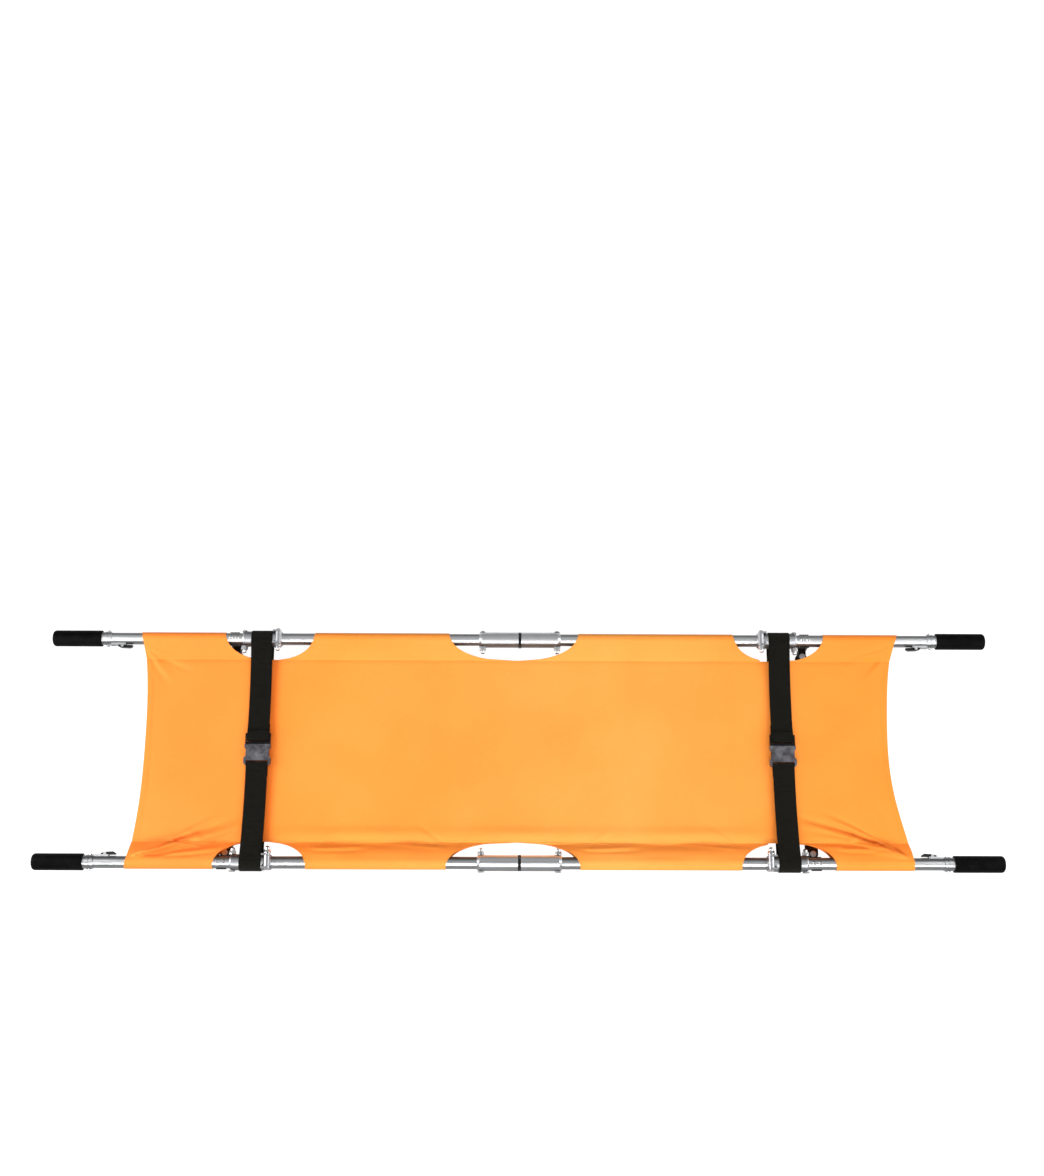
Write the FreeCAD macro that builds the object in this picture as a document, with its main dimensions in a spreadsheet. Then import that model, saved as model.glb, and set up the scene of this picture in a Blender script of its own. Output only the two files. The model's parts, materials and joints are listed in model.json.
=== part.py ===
import FreeCAD, Part
import math
import os
import re

import Sketcher

# Folding pole stretcher. Frame: +X along the poles towards the foot end, +Y across
# towards the far pole, +Z up, origin on the floor below the middle. Millimetres.
# The far foot quarter is modelled, and the other three quarters are mirrored from it.

V = FreeCAD.Vector

DRIVING = {
    "pole_y": 263,            # pole axis from the centre line
    "pole_z": 80,             # pole axis above the floor
    "tube_r": 14,
    "tube_bore_r": 12.5,
    "sleeve_r": 18.2,
    "fit": 0.05,              # radial gap of fitted pieces
    "run": 0.3,               # gap between pieces that move past each other
    "bolt_r": 4,
    "nut_r": 6.8,             # half across flats
    "nut_high": 6.5,
    "head_high": 2.6,
    "washer_high": 1,
    "crown_r": 5.2,           # domed end of a nut
    "rivet_r": 2.4,
    "hinge_x": 568,           # quarter hinge pin
    "hinge_rise": 20,         # its height over the pole axis
    "knuckle_r": 7,
    "tongue_half": 12.2,
    "socket_start": 576,
    "socket_end": 653,
    "socket_bolt_x": 649,
    "ring_start": 560,
    "ring_end": 575.5,
    "ring_r": 17.6,           # low enough to pass under the socket's cheeks
    "centre_drop": 21,        # centre hinge pin below the pole axis
    "centre_r": 6,
    "centre_sleeve_end": 96,
    "neck_half": 3.3,         # the narrow neck where the two centre sleeves meet
    "neck_r": 16.8,
    "lug_half_high": 5,
    "centre_bolt_x": 87.5,
    "pole_end": 976,
    "collar_start": 962,
    "collar_end": 984.5,
    "handle_r": 12.3,
    "handle_wall": 1.5,
    "handle_start": 800,
    "grip_start": 985,
    "grip_end": 1100,
    "grip_r": 19,
    "grip_round": 8,
    "grip_floor": 11.9,       # solid end of the grip
    "latch_pivot_x": 936,
    "latch_pivot_w": 18.6,    # latch pin from the pole axis, on the inner side
    "latch_half": 4.9,
    "foot_x": 673,            # leg and spreader line
    "blade_y": 253.3,         # inner face of the leg's blade
    "blade_thick": 11.4,
    "blade_half": 15,
    "saddle_r": 16,
    "saddle_half": 11,
    "pivot_y": 235,           # spreader pivot from the centre line
    "bar_half": 15,
    "bar_thick": 4,
    "near_bar_z": 26,
    "far_bar_z": 30.3,
    "arm_z": 36,
    "seam_y": 215,            # hem seam from the centre line
    "seam_drop": 8,
    "sling_drop": 19,
    "cloth": 1.5,
    "pocket_gap": 0.4,
    "sling_head_x": -892,
    "sling_foot_x": 894,
    "sling_end_dip": 30,
    "strap_head_x": -607,
    "strap_foot_x": 611,
    "strap_half": 25,
    "strap_thick": 2,
    "buckle_z": 70,
    "buckle_half_x": 31,
    "buckle_half_y": 37,
    "buckle_split_y": 11,
    "buckle_high": 12,
    "waist_half_x": 26.5,
    "slot_half_x": 26,
    "slot_width": 5,
    "bar_half_high": 2.5,
}

doc = FreeCAD.newDocument("FoldingStretcher")
sheet = doc.addObject("Spreadsheet::Sheet", "dims")
for row, (alias, number) in enumerate(DRIVING.items(), start=1):
    sheet.set(f"A{row}", alias)
    sheet.set(f"B{row}", str(number))
    sheet.setAlias(f"B{row}", alias)
doc.recompute()

ALIASES = re.compile(r"\b(" + "|".join(DRIVING) + r")\b")
TURN = {
    "X": FreeCAD.Rotation(V(0, 1, 0), 90),
    "Y": FreeCAD.Rotation(V(1, 0, 0), -90),
    "Z": FreeCAD.Rotation(),
}
pieces = {}


def cell(alias):
    """The value of a driving dimension."""
    return float(sheet.get(alias))


def linked(text):
    """An expression with its aliases pointed at the sheet."""
    return ALIASES.sub(r"dims.\1", str(text))


def value(text):
    return float(sheet.evalExpression(ALIASES.sub(r"\1", str(text))))


def bind(obj, settings):
    for prop, text in settings.items():
        obj.setExpression(prop, linked(text))
    return obj


def place(obj, at):
    return bind(obj, {f"Placement.Base.{a}": t for a, t in zip("xyz", at)})


def rod(name, radius, length, at, along="X"):
    """A cylinder that starts at a point and runs along an axis."""
    obj = doc.addObject("Part::Cylinder", name)
    obj.Placement.Rotation = TURN[along]
    bind(obj, {"Radius": radius, "Height": length})
    return place(obj, at)


def cone(name, radius, end_radius, length, at, along="X"):
    obj = doc.addObject("Part::Cone", name)
    obj.Placement.Rotation = TURN[along]
    bind(obj, {"Radius1": radius, "Radius2": end_radius, "Height": length})
    return place(obj, at)


def block(name, size, at):
    """A box from its lowest corner."""
    obj = doc.addObject("Part::Box", name)
    bind(obj, dict(zip(("Length", "Width", "Height"), size)))
    return place(obj, at)


def hexagon(name, circumradius, length, at, along="Y"):
    obj = doc.addObject("Part::Prism", name)
    obj.Polygon = 6
    obj.Placement.Rotation = TURN[along]
    bind(obj, {"Circumradius": circumradius, "Height": length})
    return place(obj, at)


def ball(name, radius, at):
    obj = doc.addObject("Part::Sphere", name)
    bind(obj, {"Radius": radius})
    return place(obj, at)


def fuse(name, shapes):
    obj = doc.addObject("Part::MultiFuse", name)
    obj.Shapes = shapes
    obj.Refine = True
    return obj


def cut(name, base, tools):
    """The base with every tool taken away."""
    obj = doc.addObject("Part::Cut", name)
    obj.Base = base
    obj.Tool = tools[0] if len(tools) == 1 else fuse(name + "_tools", tools)
    obj.Refine = True
    return obj


def group(name, members):
    """Separate solids of one node."""
    obj = doc.addObject("Part::Compound", name)
    obj.Links = members
    return obj


def mirror(name, source, normal):
    obj = doc.addObject("Part::Mirroring", name)
    obj.Source = source
    obj.Base = V(0, 0, 0)
    obj.Normal = normal
    return obj


def keep(label, obj):
    obj.Label = label
    pieces[label] = obj
    return obj


def both_sides(label, far, end):
    """Keep a far side piece and its mirror image on the near side."""
    keep(f"far_{end}_{label}", far)
    return keep(f"near_{end}_{label}", mirror(f"near_{end}_{label}_m", far, V(0, 1, 0)))


def four_corners(label, master, ends=("foot", "head")):
    """Keep a piece of the far foot quarter and its three mirror images."""
    both_sides(label, master, ends[0])
    both_sides(label, mirror(f"far_{ends[1]}_{label}_m", master, V(1, 0, 0)), ends[1])


def origin_plane(body, role):
    return next(f for f in body.Origin.OriginFeatures if f.Role == role)


def outline(body, name, role, points, offset="0"):
    """A closed polygon sketch on an origin plane, each corner tied to the sheet."""
    sketch = body.newObject("Sketcher::SketchObject", name)
    sketch.AttachmentSupport = [(origin_plane(body, role), "")]
    sketch.MapMode = "FlatFace"
    sketch.setExpression("AttachmentOffset.Base.z", linked(offset))
    corners = [V(value(a), value(b), 0) for a, b in points]
    count = len(corners)
    for i in range(count):
        sketch.addGeometry(Part.LineSegment(corners[i], corners[(i + 1) % count]), False)
    for i in range(count):
        sketch.addConstraint(Sketcher.Constraint("Coincident", i, 2, (i + 1) % count, 1))
        for kind, number, text in (
            ("DistanceX", corners[i].x, points[i][0]),
            ("DistanceY", corners[i].y, points[i][1]),
        ):
            tie = Sketcher.Constraint(kind, -1, 1, i, 1, number)
            index = sketch.addConstraint(tie)
            sketch.setExpression(f"Constraints[{index}]", linked(text))
    return sketch


def pad(body, name, sketch, length):
    feature = body.newObject("PartDesign::Pad", name)
    feature.Profile = sketch
    bind(feature, {"Length": length})
    body.Tip = feature
    return feature


def turned_body(name, points, at):
    """A body turned about X from a profile of (length along X, radius) corners."""
    body = doc.addObject("PartDesign::Body", name)
    sketch = outline(body, name + "_profile", "XY_Plane", points)
    turn = body.newObject("PartDesign::Revolution", name + "_turn")
    turn.Profile = sketch
    turn.ReferenceAxis = (sketch, ["H_Axis"])
    turn.Angle = 360
    place(body, at)
    return body


def on_pole(x, dy="0", dz="0"):
    """A point given from the far pole's axis."""
    return (x, f"pole_y + ({dy})", f"pole_z + ({dz})")


def cross_bolt(name, x, rise, inner, outer):
    """A bolt across the pole: low hex head outside, domed nut inside."""
    corner_r = "nut_r * 1.1547"
    washer_at = f"-{inner} - washer_high"
    nut_at = f"{washer_at} - nut_high"
    washer = rod(name + "_washer", "nut_r + 1.5", "washer_high", on_pole(x, washer_at, rise), "Y")
    nut = hexagon(name + "_nut", corner_r, "nut_high", on_pole(x, nut_at, rise))
    crown = rod(name + "_crown", "crown_r", "4", on_pole(x, f"{nut_at} - 3.5", rise), "Y")
    dome = ball(name + "_dome", "crown_r", on_pole(x, f"{nut_at} - 3.5", rise))
    shank = rod(name + "_shank", "bolt_r", f"{inner} + {outer} + 1", on_pole(x, f"-{inner}", rise),
                "Y")
    head = hexagon(name + "_head", corner_r, "head_high", on_pole(x, outer, rise))
    return fuse(name, [washer, nut, crown, dome, shank, head])


def dome_rivet(name, x):
    """A rivet down through the top of the pole's wall and the leg's saddle."""
    shank = rod(name + "_shank", "rivet_r", "6", on_pole(x, "0", "tube_r - 4"), "Z")
    cap = cone(name + "_cap", "4.2", "2.2", "1.8", on_pole(x, "0", "tube_r + 0.3"), "Z")
    return fuse(name, [shank, cap])


# --- poles ---------------------------------------------------------------------------

def pole_tube(name, start, end, tools):
    length = f"{end} - ({start})"
    body = rod(name + "_outer", "tube_r", length, on_pole(start))
    bore = rod(name + "_bore", "tube_bore_r", f"{length} + 4", on_pole(f"{start} - 2"))
    return cut(name, body, [bore] + tools)


def bolt_hole(name, x, rise="0", radius="bolt_r + fit"):
    return rod(name, radius, "60", on_pole(x, "-30", rise), "Y")


outer_tube = pole_tube(
    "outer_pole", "socket_start + 0.5", "pole_end",
    [
        bolt_hole("outer_pole_bolt_hole", "socket_bolt_x"),
        block("latch_window", ("7", "6", "7"),
              on_pole("latch_pivot_x + 4.5", "-tube_r - 2", "-3.5")),
        rod("rivet_hole_a", "rivet_r + fit", "10", on_pole("foot_x - 7", "0", "tube_r - 5"), "Z"),
        rod("rivet_hole_b", "rivet_r + fit", "10", on_pole("foot_x + 7", "0", "tube_r - 5"), "Z"),
    ],
)
four_corners("pole", outer_tube)

inner_tube = pole_tube(
    "inner_pole", "run", "ring_end - 0.5",
    [bolt_hole("inner_pole_bolt_hole", "centre_bolt_x")],
)
four_corners("pole", inner_tube, ("lower", "upper"))

# --- quarter hinges ------------------------------------------------------------------

socket_profile = [
    ("0", "tube_r + fit"),
    ("socket_end - socket_start", "tube_r + fit"),
    ("socket_end - socket_start", "sleeve_r - 2"),
    ("socket_end - socket_start - 3", "sleeve_r"),
    ("0", "sleeve_r"),
]
socket_sleeve = turned_body("socket_sleeve", socket_profile, on_pole("socket_start"))


def cheek(name, dy):
    """One lug of the hinge socket, standing on the sleeve's shoulder."""
    eye = rod(name + "_eye", "knuckle_r", "4", on_pole("hinge_x", dy, "hinge_rise"), "Y")
    web = block(name + "_web", ("13", "4", "2 * knuckle_r"),
                on_pole("hinge_x", dy, "hinge_rise - knuckle_r"))
    root = block(name + "_root", ("5", "4", "hinge_rise - 2"), on_pole("hinge_x + 8", dy))
    return [eye, web, root]


TONGUE_CLEAR = "tongue_half + run"
CHEEK_REACH = "(tongue_half + run + 4)"
socket_raw = fuse(
    "socket_raw",
    [socket_sleeve]
    + cheek("cheek_inner", f"-{CHEEK_REACH}")
    + cheek("cheek_outer", TONGUE_CLEAR),
)
socket = cut(
    "hinge_socket_solid", socket_raw,
    [
        rod("socket_bore", "tube_r + fit", "100", on_pole("socket_start - 10")),
        bolt_hole("socket_pin_hole", "hinge_x", "hinge_rise"),
        bolt_hole("socket_bolt_hole", "socket_bolt_x"),
        bolt_hole("cheek_relief", "hinge_x", "0", "5"),
    ],
)
four_corners("hinge_socket", socket)

ring_profile = [
    ("0", "tube_r + fit"),
    ("ring_end - ring_start", "tube_r + fit"),
    ("ring_end - ring_start", "ring_r"),
    ("3", "ring_r"),
    ("0", "ring_r - 2"),
]
ring_body = turned_body("ring_body", ring_profile, on_pole("ring_start"))
ring_eye = rod("ring_eye", "knuckle_r", "2 * tongue_half",
               on_pole("hinge_x", "-tongue_half", "hinge_rise"), "Y")
ring_post = block("ring_post", ("2 * knuckle_r", "2 * tongue_half", "hinge_rise - 6"),
                  on_pole("hinge_x - knuckle_r", "-tongue_half", "6"))
ring_raw = fuse("ring_raw", [ring_body, ring_eye, ring_post])
ring = cut(
    "hinge_ring_solid", ring_raw,
    [
        rod("ring_bore", "tube_r + fit", "60", on_pole("ring_start - 20")),
        bolt_hole("ring_pin_hole", "hinge_x", "hinge_rise"),
    ],
)
four_corners("hinge_knuckle", ring, ("lower", "upper"))

# --- centre hinge --------------------------------------------------------------------

sleeve_profile = [
    ("0", "tube_r + fit"),
    ("centre_sleeve_end - run", "tube_r + fit"),
    ("centre_sleeve_end - run", "sleeve_r - 2.4"),
    ("centre_sleeve_end - run - 6", "sleeve_r"),
    ("neck_half - run", "sleeve_r"),
    ("neck_half - run", "neck_r"),
    ("0", "neck_r"),
]
PIN_X = "0"
PIN_DROP = "-centre_drop"


def lug(name, dy, width, start):
    """An eye round the centre pin and the web that joins it to its sleeve."""
    eye = rod(name + "_eye", "centre_r", width, on_pole(PIN_X, dy, PIN_DROP), "Y")
    web = block(name + "_web", ("22", width, "2 * lug_half_high"),
                on_pole(start, dy, "2.6 - centre_drop - lug_half_high"))
    return [eye, web]


def centre_sleeve(name, lugs, relief):
    """Half of the centre sleeve with its lugs and its through bolt."""
    body = turned_body(name + "_tube", sleeve_profile, on_pole("run"))
    raw = fuse(name + "_raw", [body] + lugs)
    tools = [
        rod(name + "_bore", "tube_r + fit", "200", on_pole("-50")),
        rod(name + "_pin_hole", "3.05", "60", on_pole(PIN_X, "-30", PIN_DROP), "Y"),
        bolt_hole(name + "_bolt_hole", "centre_bolt_x"),
    ]
    return cut(name + "_solid", raw, tools + relief)


def clearance(name, dy, width):
    """The space that the other half's eye turns in."""
    return rod(name, "centre_r + 0.6", width, on_pole(PIN_X, dy, PIN_DROP), "Y")


lower_lugs = lug("lower_in", "-11", "5.7", PIN_X) + lug("lower_out", "5.3", "5.7", PIN_X)
lower_sleeve = centre_sleeve(
    "lower_sleeve", lower_lugs, [clearance("lower_relief", "-5.3", "10.6")]
)
upper_sleeve = centre_sleeve(
    "upper_sleeve", lug("upper_tongue", "-5", "10", PIN_X),
    [clearance("upper_relief_in", "-20", "15"), clearance("upper_relief_out", "5", "15")],
)
sleeve_bolt = cross_bolt("sleeve_bolt", "centre_bolt_x", "0", "sleeve_r", "sleeve_r")
lower_group = group("lower_sleeve_group", [lower_sleeve, sleeve_bolt])
upper_group = group("upper_sleeve_group", [upper_sleeve, sleeve_bolt])
both_sides("centre_sleeve", lower_group, "lower")
both_sides("centre_sleeve", mirror("upper_sleeve_m", upper_group, V(1, 0, 0)), "upper")

pin_shank = rod("centre_pin_shank", "3", "26", on_pole(PIN_X, "-13", PIN_DROP), "Y")
pin_heads = [
    rod(f"centre_pin_head_{n}", "4.5", "2", on_pole(PIN_X, dy, PIN_DROP), "Y")
    for n, dy in enumerate(("-13", "11"))
]
both_sides("pin", fuse("centre_pin", [pin_shank] + pin_heads), "centre")

# --- handles -------------------------------------------------------------------------

handle_length = "grip_end - grip_floor - 0.1 - handle_start"
handle_outer = rod("handle_outer", "handle_r", handle_length, on_pole("handle_start"))
handle_bore = rod("handle_bore", "handle_r - handle_wall", f"{handle_length} + 4",
                  on_pole("handle_start - 2"))
four_corners("handle_tube", cut("handle_tube_solid", handle_outer, [handle_bore]))

grip_profile = [
    ("0", "handle_r + fit"),
    ("grip_end - grip_start - grip_floor", "handle_r + fit"),
    ("grip_end - grip_start - grip_floor", "0"),
    ("grip_end - grip_start", "0"),
    ("grip_end - grip_start", "grip_r"),
    ("0", "grip_r"),
]
grip = turned_body("grip_body", grip_profile, on_pole("grip_start"))
doc.recompute()
grip_turn = grip.Tip
grip_round = grip.newObject("PartDesign::Fillet", "grip_rounding")
end_edges = [
    f"Edge{i}" for i, edge in enumerate(grip.Shape.Edges, start=1)
    if edge.Curve.TypeId == "Part::GeomCircle"
    and abs(edge.Curve.Radius - cell("grip_r")) < 1e-6
    and abs(edge.Curve.Center.x - cell("grip_end")) < 1e-6
]
grip_round.Base = (grip_turn, end_edges)
bind(grip_round, {"Radius": "grip_round"})
grip.Tip = grip_round
four_corners("grip", grip)

# --- collars and latches -------------------------------------------------------------

collar_profile = [
    ("0", "tube_r + fit"),
    ("pole_end - collar_start + 0.3", "tube_r + fit"),
    ("pole_end - collar_start + 0.3", "tube_bore_r"),
    ("collar_end - collar_start", "tube_bore_r"),
    ("collar_end - collar_start", "15.2"),
    ("14", "15.2"),
    ("14", "16.4"),
    ("10", "16.4"),
    ("10", "15.2"),
    ("5", "15.2"),
    ("5", "16.4"),
    ("0", "16.4"),
]
collar_ring = turned_body("collar_ring", collar_profile, on_pole("collar_start"))
rails = []
for n, dz in enumerate(("5.2", "-7.6")):
    rails.append(block(f"rail_{n}", ("collar_start - 926", "6.5", "2.4"),
                       on_pole("928", "-tube_r - 2.5", dz)))
    rails.append(rod(f"lug_{n}", "3.4", "2.4",
                     on_pole("latch_pivot_x", "-latch_pivot_w", dz), "Z"))
    rails.append(block(f"lug_root_{n}", ("6.8", "6", "2.4"),
                       on_pole("latch_pivot_x - 3.4", "-latch_pivot_w", dz)))
collar_raw = fuse("collar_raw", [collar_ring] + rails)
collar = cut(
    "collar_solid", collar_raw,
    [
        rod("collar_bore", "tube_r + fit", "pole_end + 0.3 - 900", on_pole("900")),
        rod("latch_pin_hole", "1.5", "30", on_pole("latch_pivot_x", "-latch_pivot_w", "-15"),
            "Z"),
        rod("collar_screw_hole", "2", "60", on_pole("collar_start + 7.5", "-30"), "Y"),
    ],
)
four_corners("pole_collar", collar)

latch = doc.addObject("PartDesign::Body", "latch_body")
lever = outline(
    latch, "lever_outline", "XY_Plane",
    [
        ("-24", "1.8"), ("-23.5", "-1.6"), ("-18", "-4.6"), ("2", "-3.6"),
        ("10", "-0.8"), ("10", "6"), ("6", "6"), ("6", "2.6"), ("-4", "2.2"),
    ],
    "-latch_half",
)
pad(latch, "lever_pad", lever, "2 * latch_half")
place(latch, on_pole("latch_pivot_x", "-latch_pivot_w"))
latch_cut = cut(
    "latch_solid", latch,
    [
        rod("latch_hole", "1.55", "30", on_pole("latch_pivot_x", "-latch_pivot_w", "-15"), "Z"),
        block("nose_top", ("6", "4.2", "4"), on_pole("latch_pivot_x + 5.5", "-15.2", "2.5")),
        block("nose_bottom", ("6", "4.2", "4"), on_pole("latch_pivot_x + 5.5", "-15.2", "-6.5")),
    ],
)
four_corners("latch", latch_cut)

# --- legs and spreaders --------------------------------------------------------------

def leg(name, bar_top):
    """A moulded leg: saddle under the pole, round edged blade and the spreader's pivot arm."""
    saddle = rod(name + "_saddle", "saddle_r", "2 * saddle_half",
                 on_pole("foot_x - saddle_half"))
    height = "pole_z - 10"
    straight = "(blade_half - blade_thick / 2)"
    blade = [block(name + "_blade", (f"2 * {straight}", "blade_thick", height),
                   (f"foot_x - {straight}", "blade_y", "0"))]
    for n, sign in enumerate("-+"):
        blade.append(rod(f"{name}_edge_{n}", "blade_thick / 2", height,
                         (f"foot_x {sign} {straight}", "blade_y + blade_thick / 2", "0"), "Z"))
    arm = block(name + "_arm", ("18", "pole_y - pivot_y", "10"),
                ("foot_x - 9", "pivot_y", "arm_z"))
    arm_end = rod(name + "_arm_end", "9", "10", ("foot_x", "pivot_y", "arm_z"), "Z")
    hub = rod(name + "_hub", "7", f"arm_z - ({bar_top})", ("foot_x", "pivot_y", bar_top), "Z")
    raw = fuse(name + "_raw", [saddle, arm, arm_end, hub] + blade)
    open_top = block(name + "_open", ("60", "60", "40"),
                     ("foot_x - 30", "pole_y - 30", "pole_z + 4"))
    return cut(
        name, raw,
        [
            rod(name + "_bore", "tube_r + fit", "60", on_pole("foot_x - 30")),
            open_top,
            rod(name + "_pin_hole", "bolt_r", "40", ("foot_x", "pivot_y", "15"), "Z"),
        ],
    )


far_leg = leg("far_leg", "far_bar_z + bar_thick + run")
near_leg = mirror("near_leg", leg("near_leg_plan", "near_bar_z + bar_thick + run"), V(0, 1, 0))
for side, part in (("far", far_leg), ("near", near_leg)):
    keep(f"{side}_foot_leg", part)
    keep(f"{side}_head_leg", mirror(f"{side}_head_leg_m", part, V(1, 0, 0)))


def spreader(name, low, flip):
    """Half of a spreader bar, from its leg's pivot to the knee on the centre line."""
    body = doc.addObject("PartDesign::Body", name + "_bar")
    plate = outline(
        body, name + "_outline", "XY_Plane",
        [
            ("-bar_half", "0"), ("-bar_half", "pivot_y"), ("-bar_half * 0.6", "pivot_y + 10"),
            ("bar_half * 0.6", "pivot_y + 10"), ("bar_half", "pivot_y"), ("bar_half", "0"),
            ("bar_half * 0.6", "-10"), ("-bar_half * 0.6", "-10"),
        ],
    )
    pad(body, name + "_pad", plate, "bar_thick")
    place(body, ("foot_x", "0", low))
    holes = [
        rod(name + "_knee_hole", "bolt_r + fit", "20", ("foot_x", "0", f"{low} - 8"), "Z"),
        rod(name + "_pivot_hole", "bolt_r + fit", "20", ("foot_x", "pivot_y", f"{low} - 8"), "Z"),
    ]
    bar = cut(name + "_drilled", body, holes)
    return mirror(name + "_flipped", bar, V(0, 1, 0)) if flip else bar


def knee_rivet(name):
    """The rivet that both halves turn on; it stays with the near half."""
    stack = "far_bar_z + bar_thick - near_bar_z"
    shank = rod(name + "_shank", "bolt_r", f"{stack} + 1.6", ("foot_x", "0", "near_bar_z - 1"),
                "Z")
    low = rod(name + "_low", "7", "2", ("foot_x", "0", "near_bar_z - 2.3"), "Z")
    top = rod(name + "_top", "7", "2", ("foot_x", "0", "far_bar_z + bar_thick + run"), "Z")
    return fuse(name, [shank, low, top])


near_bar = group("near_bar", [spreader("near_half", "near_bar_z", True), knee_rivet("knee")])
far_bar = spreader("far_half", "far_bar_z", False)
for side, part in (("near", near_bar), ("far", far_bar)):
    keep(f"{side}_foot_spreader", part)
    keep(f"{side}_head_spreader", mirror(f"{side}_head_spreader_m", part, V(1, 0, 0)))

# --- fasteners of each outer pole ----------------------------------------------------

def pivot_pin(name, low):
    """The spreader's pivot pin, hanging through the leg's arm."""
    shank = rod(name + "_shank", "bolt_r", f"arm_z + 11 - ({low}) + 2",
                ("foot_x", "pivot_y", f"{low} - 2"), "Z")
    head = rod(name + "_head", "7", "2", ("foot_x", "pivot_y", "arm_z + 10"), "Z")
    clip = rod(name + "_clip", "7", "2", ("foot_x", "pivot_y", f"{low} - 2.3"), "Z")
    return fuse(name, [shank, head, clip])


hinge_bolt = cross_bolt("hinge_bolt", "hinge_x", "hinge_rise", "sleeve_r", CHEEK_REACH)
socket_bolt = cross_bolt("socket_bolt", "socket_bolt_x", "0", "sleeve_r", "sleeve_r")
latch_pin = rod("latch_pin", "1.5", "15.2",
                on_pole("latch_pivot_x", "-latch_pivot_w", "-7.6"), "Z")
screws = []
for n, (start, length) in enumerate((("-19.6", "5"), ("14.6", "5"))):
    screws.append(fuse(f"collar_screw_{n}", [
        rod(f"collar_screw_shank_{n}", "2", length,
            on_pole("collar_start + 7.5", start), "Y"),
        rod(f"collar_screw_head_{n}", "3.4", "2.6",
            on_pole("collar_start + 7.5", "-19.6" if n == 0 else "17"), "Y"),
    ]))
rivets = [dome_rivet("rivet_a", "foot_x - 7"), dome_rivet("rivet_b", "foot_x + 7")]
shared = [hinge_bolt, socket_bolt, latch_pin] + screws + rivets
for side, low in (("far", "far_bar_z"), ("near", "near_bar_z")):
    plan = group(f"{side}_fastener_plan", shared + [pivot_pin(f"{side}_pivot_pin", low)])
    foot = plan if side == "far" else mirror("near_foot_fasteners_m", plan, V(0, 1, 0))
    keep(f"{side}_foot_fasteners", foot)
    keep(f"{side}_head_fasteners", mirror(f"{side}_head_fasteners_m", foot, V(1, 0, 0)))

# --- sling ---------------------------------------------------------------------------

def soft_feature(name, shape, x=0):
    """A computed solid, placed at a station along the poles."""
    obj = doc.addObject("Part::Feature", name)
    obj.Shape = shape
    obj.Placement = FreeCAD.Placement(V(x, 0, 0), FreeCAD.Rotation())
    return obj


def teardrop(side, radius, apex_y, apex_z):
    """A pocket's outline in YZ: round the pole, then straight to the seam."""
    centre_y = side * cell("pole_y")
    centre_z = cell("pole_z")
    to_apex = V(0, apex_y - centre_y, apex_z - centre_z)
    distance = to_apex.Length
    spread = math.acos(radius / distance)
    heading = math.atan2(to_apex.z, to_apex.y)

    def at(angle):
        return V(0, centre_y + radius * math.cos(angle), centre_z + radius * math.sin(angle))

    first, last = at(heading + spread), at(heading - spread)
    round_side = Part.Arc(first, at(heading + math.pi), last).toShape()
    tip = V(0, apex_y, apex_z)
    return Part.Wire([round_side, Part.makeLine(last, tip), Part.makeLine(tip, first)])


def sheet_section(points, half):
    """A strip of cloth in YZ about a line of (y, z) points."""
    upper = [V(0, y, z + half) for y, z in points]
    lower = [V(0, y, z - half) for y, z in reversed(points)]
    return Part.Face(Part.makePolygon(upper + lower + [upper[0]]))


def sag(y):
    """Height of the sling's sheet between its two hem seams."""
    share = y / cell("seam_y")
    low = cell("pole_z") - cell("sling_drop")
    return low + (cell("sling_drop") - cell("seam_drop")) * share * share


def hand_hole(middle, half_length, side):
    """An upright tool with the rounded outline of one hand hole."""
    outer = cell("pole_y") + cell("tube_r") + 4
    depth = outer - cell("seam_y")
    power = 2 / 2.4
    steps = 28
    points = []
    for i in range(steps + 1):
        angle = math.pi * i / steps
        along = math.copysign(abs(math.cos(angle)) ** power, math.cos(angle))
        x = middle + half_length * along
        points.append(V(x, side * (outer - depth * math.sin(angle) ** power), 0))
    curve = Part.BSplineCurve()
    curve.interpolate(points)
    beyond = V(0, side * 20, 0)
    rim = [points[-1], points[-1] + beyond, points[0] + beyond, points[0]]
    face = Part.Face(Part.Wire([curve.toShape()] + Part.makePolygon(rim).Edges))
    return face.extrude(V(0, 0, 200))


def end_cut(x, direction):
    """The tool that gives one end of the sling its inward curve."""
    reach = cell("pole_y") + 60
    dip = x - direction * cell("sling_end_dip")
    edge = Part.Arc(V(x, -reach, 0), V(dip, 0, 0), V(x, reach, 0)).toShape()
    out = V(direction * 60, 0, 0)
    corners = [V(x, reach, 0), V(x, reach, 0) + out, V(x, -reach, 0) + out, V(x, -reach, 0)]
    face = Part.Face(Part.Wire([edge] + Part.makePolygon(corners).Edges))
    return face.extrude(V(0, 0, 200))


HAND_HOLES = ((-590, 107), (-14.5, 152.5), (610, 107))    # (middle, half length)


def sling_shape():
    """The whole sling along its length, before it is parted at the hinges."""
    start, end = cell("sling_head_x"), cell("sling_foot_x")
    seam, cloth = cell("seam_y"), cell("cloth")
    inner_r = cell("tube_r") + cell("pocket_gap")
    seam_z = sag(seam)
    steps = 16
    line = [(seam * (2 * i / steps - 1), sag(seam * (2 * i / steps - 1)))
            for i in range(steps + 1)]
    solid = sheet_section(line, cloth / 2).extrude(V(end - start, 0, 0))
    hollows = []
    for side in (-1, 1):
        outer = teardrop(side, inner_r + cloth, side * (seam - 2), seam_z)
        inner = teardrop(side, inner_r, side * (seam + 6), seam_z)
        solid = solid.fuse(Part.Face(outer).extrude(V(end - start, 0, 0)))
        hollows.append(Part.Face(inner).extrude(V(end - start, 0, 0)))
    solid = solid.cut(hollows)
    solid.translate(V(start, 0, 0))
    tools = [end_cut(start, -1), end_cut(end, 1)]
    for side in (-1, 1):
        for middle, half_length in HAND_HOLES:
            tools.append(hand_hole(middle, half_length, side))
    return solid.cut(tools).removeSplitter()


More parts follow.
